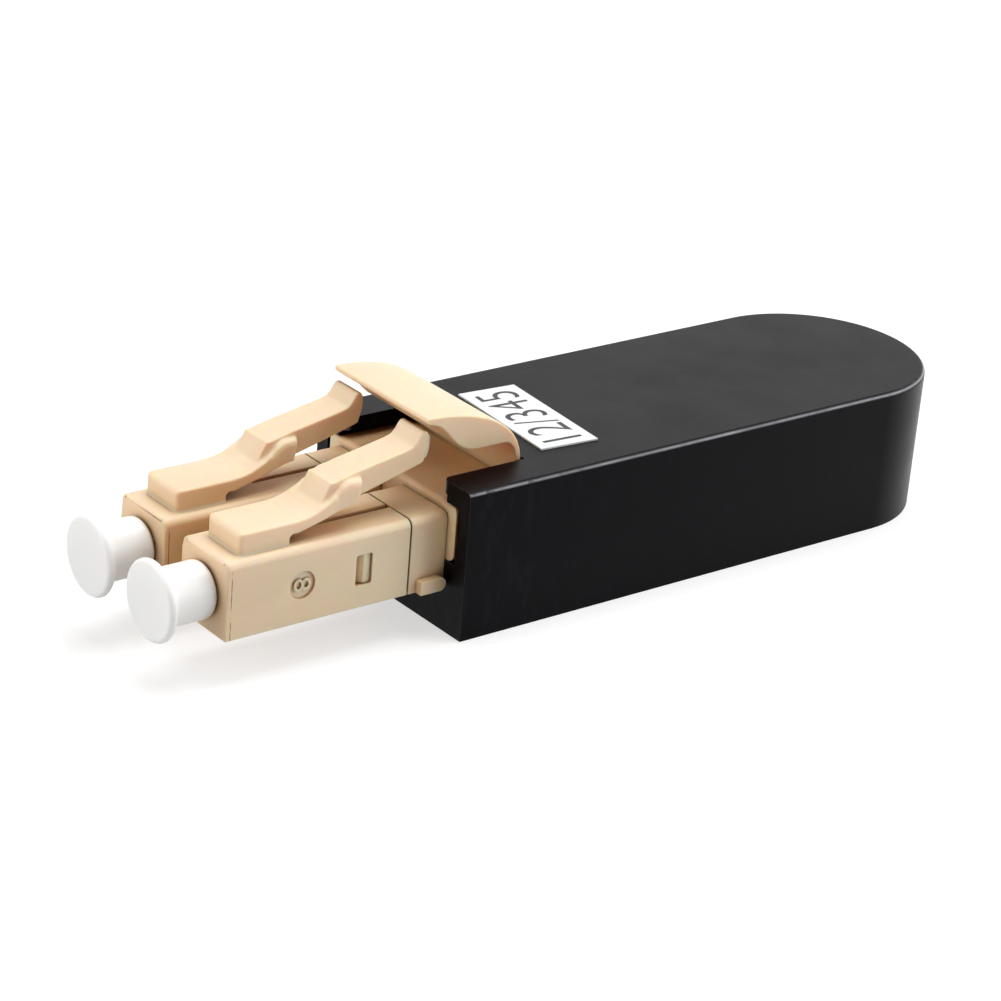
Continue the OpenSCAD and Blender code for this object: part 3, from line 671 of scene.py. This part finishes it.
def softened(piece, cell, passes):
    """Rounds every edge and fills every corner, with cells of so many millimetres."""
    resized(piece, GROWTH)
    skin = piece.modifiers.new("skin", "REMESH")
    skin.mode = "VOXEL"
    skin.voxel_size = cell
    relax = piece.modifiers.new("relax", "SMOOTH")
    relax.factor = 0.5
    relax.iterations = passes
    for step in ("skin", "relax"):
        bpy.ops.object.modifier_apply(modifier=step)
    resized(piece, 1 / GROWTH)
    bpy.ops.object.shade_smooth()


print("ready to soften")

# %% [markdown]
# The arm is thin near the axis, so that it can bend, and keeps its full width. Two lugs stand on
# its edges: they catch in the receptacle. The narrow tail climbs steeply between them, up to where
# the trigger presses it. The three are pulled separately. The lugs' rear ends and both ends of the
# tail are then cut to their lean.

# %% The arm, its lugs and its tail
HALF, TAIL_HALF = 1.6, 1.1
ARM = ((-0.7, -0.4, 0.48), (-0.1, -0.32, 0.48), (0.36, -0.24, 0.49), (0.9, -0.11, 0.56),
       (1.4, 0.01, 0.68), (1.82, 0.12, 0.86), (2.3, 0.28, 1.07), (2.9, 0.48, 1.2), (3.6, 0.68, 1.4),
       (4.1, 0.77, 1.6))
LUG = ((1.6, 0.06, 0.76), (1.95, 0.17, 0.93), (2.35, 0.30, 1.12), (2.8, 0.45, 1.47),
       (3.2, 0.57, 1.82), (3.5, 0.65, 1.98), (3.8, 0.72, 2.05), (4.5, 0.80, 2.03))
LUG_END, LUG_LEAN = mm(0, 4.35, 1.4), Vector((0, 0.97, -0.24))
LUG_SINK, LUG_ROUND, LUG_FRONT, LUG_TOP = 0.05, 0.3, 2.8, 1.4
TAIL = ((1.6, 0.3, 2.0), (2.9, 0.46, 2.02), (4.4, 0.84, 2.36), (6.0, 1.24, 2.64), (7.6, 1.66, 2.94),
        (8.08, 1.79, 3.08), (8.32, 1.86, 3.36), (8.5, 1.91, 3.66), (8.68, 1.97, 3.82),
        (8.9, 2.05, 3.82), (9.05, 2.12, 3.6))
TAIL_FOOT, TAIL_RISER = mm(0, 1.99, 0.92), Vector((0, -0.866, 0.5))
TAIL_END, TAIL_LEAN = mm(0, 8.98, 2.6), Vector((0, 0.95, -0.3))


def pulled_tail(axis):
    """The narrow tail, cut to a steep riser in front and to a leaning end behind."""
    tail = pulled(axis, -TAIL_HALF, TAIL_HALF, TAIL)
    sliced(tail, axis + TAIL_FOOT, TAIL_RISER)
    sliced(tail, axis + TAIL_END, TAIL_LEAN)
    return tail


def pulled_lug(axis, edge):
    """The lug on one edge of the arm, edge being -1 or 1, with the outer edges of its top rounded."""
    sides = sorted((edge * HALF, edge * (TAIL_HALF - LUG_SINK)))
    lug = pulled(axis, *sides, LUG)
    sliced(lug, axis + LUG_END, LUG_LEAN)
    bevel_edges(lug, lambda middle, along: abs(middle.x - axis.x) > mm(HALF) - NEAR
                and middle.z > axis.z + mm(LUG_TOP) and abs(along.x) < 0.1
                and middle.y > axis.y + mm(LUG_FRONT), LUG_ROUND, 2)
    return lug


print("stations:", len(ARM), "for the arm,", len(LUG), "for a lug,", len(TAIL), "for the tail")

# %% [markdown]
# The root block is a plain box whose front edges are well rounded. Its foot spreads into a thin
# plate just inside the connector's top, so that the softening also gives the block a small cove
# where it meets the body. Below the arm the gap ends in a round that a bar cuts, because a sharp
# inner corner would crack there.

# %% The root block and its foot
BLOCK_LENGTH, BLOCK_RISE, BLOCK_REAR, BLOCK_UNDERSIDE = 3.45, 0.48, -0.21, -1.1
FRONT_ROUND = 0.25
DECK, FOOT_UNDERSIDE, FOOT_SPREAD, FOOT_FRONT = -0.79, -1.2, 0.25, 0.3


def root_block(axis):
    """The block in front of the axis that the arm grows out of."""
    root = block(axis + mm(-HALF, -BLOCK_LENGTH, BLOCK_UNDERSIDE), axis + mm(HALF, BLOCK_REAR, BLOCK_RISE))
    front = axis.y - mm(BLOCK_LENGTH)
    bevel_edges(root, lambda middle, along: middle.y < front + NEAR
                and (abs(along.z) > 0.9 or middle.z > axis.z), FRONT_ROUND, 5)
    return root


def foot_plate(axis):
    """The thin plate around the block's foot, just inside the connector's top."""
    return block(axis + mm(-HALF - FOOT_SPREAD, -BLOCK_LENGTH - FOOT_FRONT, FOOT_UNDERSIDE),
                 axis + mm(HALF + FOOT_SPREAD, BLOCK_REAR, DECK))


print("the block is", BLOCK_LENGTH + BLOCK_REAR, "mm long")

# %% [markdown]
# Both latches are put together alike. Each replaces the model's latch, which is hidden. On the real arm the
# bend is spread over a little more than a millimetre of its thin root.

# %% Latches, each one moulding with its root block
CELL, PASSES = 0.06, 7
GAP_END, GAP_RADIUS, GAP_LENGTH = mm(0, 0.04, -0.5), mm(0.27), mm(4)
for side, axis in latch_axis.items():
    moulding = root_block(axis)
    moulding.name = f"{side}_latch_moulding"
    combine(moulding, pulled(axis, -HALF, HALF, ARM), "UNION")
    combine(moulding, pulled_tail(axis), "UNION")
    for edge in (-1, 1):
        combine(moulding, pulled_lug(axis, edge), "UNION")
    combine(moulding, foot_plate(axis), "UNION")
    combine(moulding, bar_across(axis + GAP_END, GAP_RADIUS, GAP_LENGTH), "DIFFERENCE")
    softened(moulding, CELL, PASSES)
    dress(moulding, beige_pbt)
    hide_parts(f"{side}_latch")
    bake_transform(moulding)
    print(moulding.name, len(moulding.data.vertices), "points")

# %% [markdown]
# The mould of the right latch closes badly: a paper-thin ragged fin of flash stands out along the
# rear edge of its tail. It could be bump on the edge, but it breaks the outline, so it is a mesh: a
# thin sheet is cut to the slope of the tail's end, divided, and its free rim shaken a little.

# %% Flash on the right tail
FIN_LOW, FIN_HIGH, FIN_END = mm(0.98, 8.6, 2.25), mm(1.07, 9.14, 3.55), mm(0, 9.08, 2.6)
FIN_RIM, FIN_CUTS, FIN_SHAKE = mm(8.9), 13, mm(0.03)
axis = latch_axis["right"]
flash = block(axis + FIN_LOW, axis + FIN_HIGH)
flash.name = "right_tail_flash"
sliced(flash, axis + FIN_END, TAIL_LEAN)
bpy.ops.object.mode_set(mode="EDIT")
bpy.ops.mesh.select_all(action="SELECT")
bpy.ops.mesh.subdivide(number_cuts=FIN_CUTS)
bpy.ops.mesh.select_mode(type="VERT")
bpy.ops.mesh.select_all(action="DESELECT")
bpy.ops.object.mode_set(mode="OBJECT")
for point in flash.data.vertices:
    point.select = point.co.y > axis.y + FIN_RIM
bpy.ops.object.mode_set(mode="EDIT")
bpy.ops.transform.vertex_random(offset=FIN_SHAKE, seed=4)
bpy.ops.object.mode_set(mode="OBJECT")
bpy.ops.object.shade_smooth()
dress(flash, beige_pbt)
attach(flash, "right_latch")
print(flash.name, len(flash.data.vertices), "points")

# %% [markdown]
# ### The connector bodies
# The connector's body is the model's front housing without its root block: that is part of the
# latch moulding now. A box that starts a hair below the connector's top takes it away. The body is
# then shortened a little, because the seam to the collar is wider on a real plug than in the model.
# A round cavity mark is sunk into its outer side, halfway up: mould makers number their cavities so.

# %% Where the body's features lie
DECK_BELOW_AXIS, SEAM = 0.7605, 0.09
MARK_WIDTH, MARK_DEPTH, MARK_PLACE = 1.66, 0.14, 4.85


def body_deck(side):
    """The height at which a connector's body ends, just below its top."""
    return latch_axis[side].z - mm(DECK_BELOW_AXIS)


def mark_middle(side, sink=0.0):
    """The middle of a connector's cavity mark, so many millimetres below its outer side."""
    low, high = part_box(f"{side}_front_housing")
    return Vector((high.x - mm(sink), low.y + mm(MARK_PLACE), (low.z + body_deck(side)) / 2))


print("right mark at", [round(v * 1000, 2) for v in mark_middle("right")])

# %% [markdown]
# The mould left the body's front edges and the corners of its side windows well rounded. Those are
# bevelled first, each kind by its place. All other edges get the fine live rounding.

# %% Connector bodies
FRONT_TOP_ROUND, FRONT_SIDE_ROUND, FRONT_TOP = 0.2, 0.08, 1.4
WINDOW_PLACE, WINDOW_CORNER, EDGE_ROUND = 3.1, 0.15, 0.035
WALL_FROM_AXIS, WINDOW_HALF_LENGTH, WINDOW_HALF_HEIGHT = 1.7, 0.6, 1.0
for side, axis in latch_axis.items():
    body = copy_of(f"{side}_front_housing", f"{side}_connector_body")
    low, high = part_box(f"{side}_front_housing")
    deck, mark = body_deck(side), mark_middle(side)
    combine(body, block(Vector((low.x - mm(1), low.y - mm(1), deck)),
                        Vector((high.x + mm(1), high.y + mm(1), high.z + mm(1)))), "DIFFERENCE")
    sliced(body, Vector((0, high.y - mm(SEAM), 0)), Vector((0, 1, 0)))
    join_faces(body)
    bevel_edges(body, lambda middle, along: middle.y < low.y + NEAR
                and middle.z > axis.z - mm(FRONT_TOP), FRONT_TOP_ROUND, 4)
    bevel_edges(body, lambda middle, along: middle.y < low.y + NEAR
                and abs(along.z) > 0.9, FRONT_SIDE_ROUND, 3)
    window = Vector((axis.x, high.y - mm(WINDOW_PLACE), mark.z))
    bevel_edges(body, lambda middle, along: abs(along.x) > 0.9
                and abs(middle.x - window.x) > mm(WALL_FROM_AXIS)
                and abs(middle.y - window.y) < mm(WINDOW_HALF_LENGTH)
                and abs(middle.z - window.z) < mm(WINDOW_HALF_HEIGHT), WINDOW_CORNER, 3)
    combine(body, bar_across(mark, mm(MARK_WIDTH / 2), mm(2 * MARK_DEPTH)), "DIFFERENCE")
    join_faces(body)
    dress(body, parted_pbt)
    round_edges(body, EDGE_ROUND)
    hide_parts(f"{side}_front_housing")
    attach(body, "plug")
    print(body.name, len(body.data.vertices), "points")

# %% [markdown]
# ## Springs
# A coil spring shortens when its ferrule is pushed back. Its rear end stays on the rear body and its front
# end follows the flange. The model's coil is one rigid solid; a copy of it takes its place on the plug, and
# its facets are shaded as one round wire.

# %% Springs, copied from the model
for side, axis in latch_axis.items():
    spring = copy_of(f"{side}_spring", f"{side}_coil_spring")
    dress(spring, spring_steel)
    pick(spring)
    bpy.ops.object.shade_smooth_by_angle(angle=math.radians(30))
    low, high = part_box(f"{side}_spring")
    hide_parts(f"{side}_spring")
    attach(spring, "plug")
    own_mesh(spring)

# %% [markdown]
# ## Numbers
# The plug carries two kinds of plain numbers: raised ones in the cavity marks, and printed ones on
# the label. An image could hold them, but type stays sharp at any distance. Text is set in type,
# turned to a mesh and laid in its place, at the length and height that it has there.

# %% Letters as solids
def lettering(name, text, turn, middle, length, height, rise, thinner=0.0):
    """A text of a length and height in millimetres, turned, its middle at a point."""
    bpy.ops.object.select_all(action="DESELECT")
    bpy.ops.object.text_add()
    piece = bpy.context.object
    piece.name = name
    piece.data.body = text
    piece.data.extrude = 0.002
    piece.data.offset = -thinner
    bpy.ops.object.convert(target="MESH")
    low = Vector([min(v.co[i] for v in piece.data.vertices) for i in range(3)])
    high = Vector([max(v.co[i] for v in piece.data.vertices) for i in range(3)])
    size = high - low
    fit = Matrix.Diagonal((mm(length) / size.x, mm(height) / size.y, mm(rise) / size.z, 1.0))
    piece.data.transform(Matrix.Translation(middle) @ turn @ fit
                         @ Matrix.Translation(-(low + high) / 2))
    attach(piece, "plug")
    return piece


print("ready to set type")

# %% [markdown]
# The number in a cavity mark lies on its side. It ends just below the connector's outer side, as a
# real one does so that it rubs on nothing, and it sinks a little into the mark's floor, so that no
# gap shows under it.

# %% Raised numbers in the cavity marks
NUMBER_LENGTH, NUMBER_HEIGHT, NUMBER_RISE, NUMBER_SINK = 0.75, 1.1, 0.14, 0.09
ON_ITS_SIDE = Matrix(((0, 0, 1, 0), (0, 1, 0, 0), (-1, 0, 0, 0), (0, 0, 0, 1)))
for side, number in (("left", "3"), ("right", "8")):
    raised = lettering(f"{side}_cavity_number", number, ON_ITS_SIDE, mark_middle(side, NUMBER_SINK),
                       NUMBER_LENGTH, NUMBER_HEIGHT, NUMBER_RISE)
    dress(raised, beige_pbt)
print("raised two numbers")

# %% [markdown]
# The label carries a plain number in thin strokes. The print is laid on the paper and turned with
# the label, which was stuck on by hand and a little askew. It reads from the rear of the plug.

# %% Digits on the label
LABEL_TURN = math.radians(-4.5)
label_low, label_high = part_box("label")
label_middle = (label_low + label_high) / 2
digits = lettering("label_digits", "12/345", Matrix.Rotation(LABEL_TURN + math.pi, 4, "Z"),
                   Vector((label_middle.x, label_middle.y, label_high.z)),
                   length=7.5, height=2.7, rise=0.01, thinner=0.008)
dress(digits, thermal_print)
print("digits", len(digits.data.polygons), "faces")

# %% [markdown]
# ## Stage, light and camera
# The plug lies on white paper in a white room. A strong lamp could bleach the paper, but it would
# bleach the plug as well. So the paper is a pale grey that keeps the plug's shadow, and where the
# camera, a reflection or a clear material looks at it, a light of its own lifts it to clean white:
# a little near the plug, and fully farther out.

# %% White paper
LIFT_NEAR, LIFT_FULL = 60, 150


def seen_share(tree):
    """1 where the camera, a reflection or a clear material looks at this surface, else 0."""
    ray = add_node(tree, "ShaderNodeLightPath")
    seen = ray.outputs["Is Camera Ray"]
    for kind in ("Is Glossy Ray", "Is Transmission Ray"):
        seen = add_node(tree, "ShaderNodeMath", {0: seen, 1: ray.outputs[kind]},
                        operation="MAXIMUM").outputs["Value"]
    return seen


def make_paper_sweep():
    material, tree, place, surface = new_material("white_paper_sweep")
    away = add_node(tree, "ShaderNodeVectorMath", {0: place}, operation="LENGTH")
    full = add_node(tree, "ShaderNodeMapRange",
                    {"Value": away.outputs["Value"], "From Min": mm(LIFT_NEAR),
                     "From Max": mm(LIFT_FULL), "To Min": 0.6, "To Max": 1.0})
    lift = add_node(tree, "ShaderNodeMath", {0: seen_share(tree), 1: full.outputs["Result"]},
                    operation="MULTIPLY")
    wire(tree, surface, {"Base Color": linear("BEBEBE"), "Roughness": 0.9,
                         "Specular IOR Level": 0.0, "Emission Color": linear("FFFFFF"),
                         "Emission Strength": lift.outputs["Value"]})
    return material


bpy.ops.object.select_all(action="DESELECT")
bpy.ops.mesh.primitive_plane_add(size=2.0, location=(0, 0, cad_low.z))
floor = bpy.context.object
floor.name = "floor"
floor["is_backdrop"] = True
dress(floor, make_paper_sweep())
print("paper laid at", cad_low.z)

# %% [markdown]
# The room is dimmer for lighting than it looks, so that the lamps still shape the forms.

# %% White room
ROOM_LIGHT = 0.2
world = bpy.data.worlds.new("studio_white")
bpy.context.scene.world = world
world.use_nodes = True
tree = world.node_tree
tree.nodes.clear()
strength = add_node(tree, "ShaderNodeMapRange",
                    {"Value": seen_share(tree), "To Min": ROOM_LIGHT, "To Max": 1.0})
background = add_node(tree, "ShaderNodeBackground",
                      {"Color": linear("FFFFFF"), "Strength": strength.outputs["Result"]})
add_node(tree, "ShaderNodeOutputWorld", {"Surface": background.outputs["Background"]})
print("room ready")

# %% [markdown]
# A large soft box hangs above and a little behind, so the tops are bright and the trigger shades
# what lies below it. One behind on the right stands for a window and lights the round rear end, and
# a third fills in from the front. A small one behind on the right only draws the thin bright line
# along the rounded edges.

# %% Lamps
LAMP_DISTANCE = 400


def soft_box(name, direction, size, power):
    """A square soft light of a size in millimetres that looks at the plug from a direction."""
    toward = Vector(direction).normalized()
    lamp = bpy.data.lights.new(name, "AREA")
    lamp.shape = "SQUARE"
    lamp.size = mm(size)
    lamp.energy = power
    holder = bpy.data.objects.new(name, lamp)
    bpy.context.collection.objects.link(holder)
    holder.location = (cad_low + cad_high) / 2 + toward * mm(LAMP_DISTANCE)
    holder.rotation_euler = (-toward).to_track_quat("-Z", "Y").to_euler()


soft_box("key_light", (-0.1, 0.2, 1.0), 300, 1.4)
soft_box("window_light", (0.65, 0.75, 0.3), 300, 0.85)
soft_box("front_fill", (-0.3, -1.0, 0.25), 300, 0.9)
soft_box("edge_light", (0.39, 0.58, 0.68), 60, 0.1)
print("lamps ready")

# %% [markdown]
# The camera stands in front on the right and looks down a little, as at a small thing on a table. A
# long lens from 18 cm keeps parallel edges nearly parallel. It could be aimed with a constraint, but
# it is also rolled by a few degrees, so its three directions are worked out here.

# %% Camera
AZIMUTH, ELEVATION, ROLL = math.radians(50.4508), math.radians(23.9513), math.radians(4.7662)
AIM, DISTANCE, LENS, SENSOR = mm(0.0127, -2.5345, 4.0296), 179.82, 110.714, 36.0
back = Vector((math.sin(AZIMUTH) * math.cos(ELEVATION), -math.cos(AZIMUTH) * math.cos(ELEVATION),
               math.sin(ELEVATION)))
right = (-back).cross(Vector((0, 0, 1))).normalized()
up = right.cross(-back)
right, up = (math.cos(ROLL) * right + math.sin(ROLL) * up, math.cos(ROLL) * up - math.sin(ROLL) * right)
camera_data = bpy.data.cameras.new("camera")
camera_data.sensor_width = SENSOR
camera_data.lens = LENS
camera_data.clip_start = 0.01
camera = bpy.data.objects.new("camera", camera_data)
bpy.context.collection.objects.link(camera)
turn = Matrix((right, up, back)).transposed().to_4x4()
camera.matrix_world = Matrix.Translation(AIM + back * mm(DISTANCE)) @ turn
bpy.context.scene.camera = camera
bpy.context.scene.view_settings.view_transform = "Standard"
print("camera", [round(v * 1000, 1) for v in camera.location])

# %% [markdown]
# ## Finish
# The last cell measures the dressed plug and prints its box beside the construction model's box printed at
# the start, so that the two can be compared.

# %% Finish
low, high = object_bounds()
print("visual box", [round(v * 1000, 2) for v in (*low, *high)])
